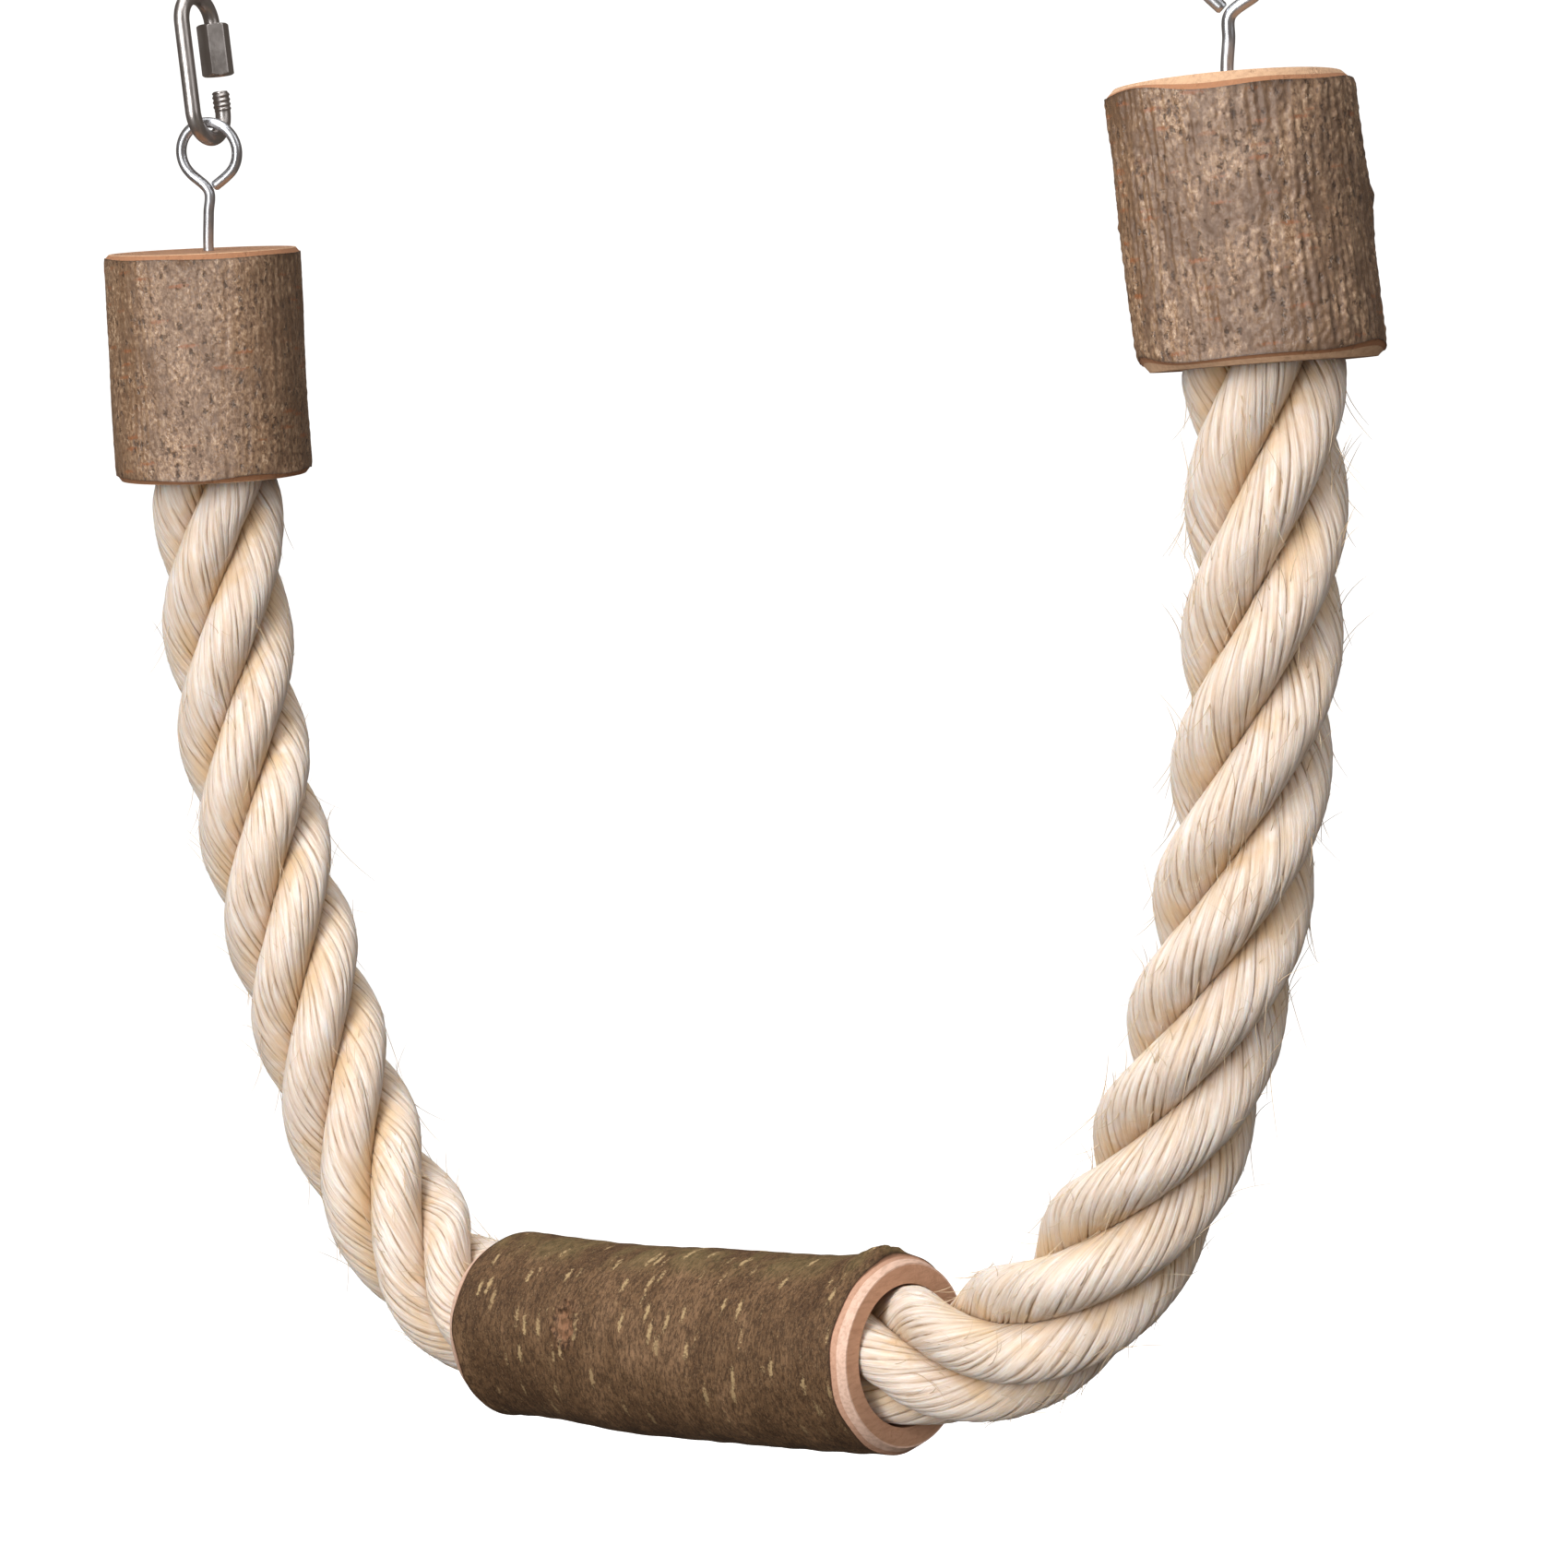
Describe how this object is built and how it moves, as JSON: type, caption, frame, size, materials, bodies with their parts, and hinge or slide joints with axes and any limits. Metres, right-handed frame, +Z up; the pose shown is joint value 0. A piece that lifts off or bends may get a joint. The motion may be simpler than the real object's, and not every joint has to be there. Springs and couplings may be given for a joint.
{
  "type": "parrot swing",
  "caption": "Parrot swing: a thick laid sisal rope hung in a U between bark-covered log caps with eye bolts and open quick links, threaded through a hollow log that rolls as a perch.",
  "frame": {"origin": "where a hook bears in the upper bow of the left quick link", "axes": "+Z up, +X from the left hanging point to the right one, +Y away from the viewer; the rope's middle line lies in the plane Y = 0"},
  "size_m": [0.4768, 0.0638, 0.4621],
  "materials": {
    "stainless_steel": "satin",
    "zinc_steel": "satin",
    "cap_bark": "matte",
    "roller_bark": "matte",
    "tape": "satin",
    "sisal": "matte"
  },
  "bodies": {
    "hangers": {"left_quick_link": "stainless_steel", "right_quick_link": "stainless_steel"},
    "left_nut": {"left_link_nut": "stainless_steel"},
    "right_nut": {"right_link_nut": "stainless_steel"},
    "swing": {"left_eye_bolt": "zinc_steel", "right_eye_bolt": "zinc_steel", "left_eye_washer": "zinc_steel", "right_eye_washer": "zinc_steel", "left_lock_nut": "zinc_steel", "right_lock_nut": "zinc_steel", "left_log_cap": "cap_bark", "right_log_cap": "cap_bark", "left_rope_screw": "stainless_steel", "right_rope_screw": "stainless_steel", "left_rope_tape": "tape", "right_rope_tape": "tape", "rope_strand_1": "sisal", "rope_strand_2": "sisal", "rope_strand_3": "sisal", "rope_strand_4": "sisal", "rope_heart": "sisal"},
    "roller": {"log_roller": "roller_bark"}
  },
  "joints": [
    {"name": "swing_hinge", "type": "hinge", "parent": "hangers", "child": "swing", "pos_m": [0, 0, -0.0375], "axis": [1, 0, 0], "range_deg": [-36, 36]},
    {"name": "roller_roll", "type": "hinge", "parent": "swing", "child": "roller", "pos_m": [0.1555, 0, -0.4258], "axis": [0.9998, 0, 0.018], "continuous": true},
    {"name": "left_nut_travel", "type": "slide", "parent": "hangers", "child": "left_nut", "axis": [0, 0, -1], "range_m": [0, 0.01]},
    {"name": "right_nut_travel", "type": "slide", "parent": "hangers", "child": "right_nut", "axis": [0, 0, -1], "range_m": [0, 0.01]}
  ]
}
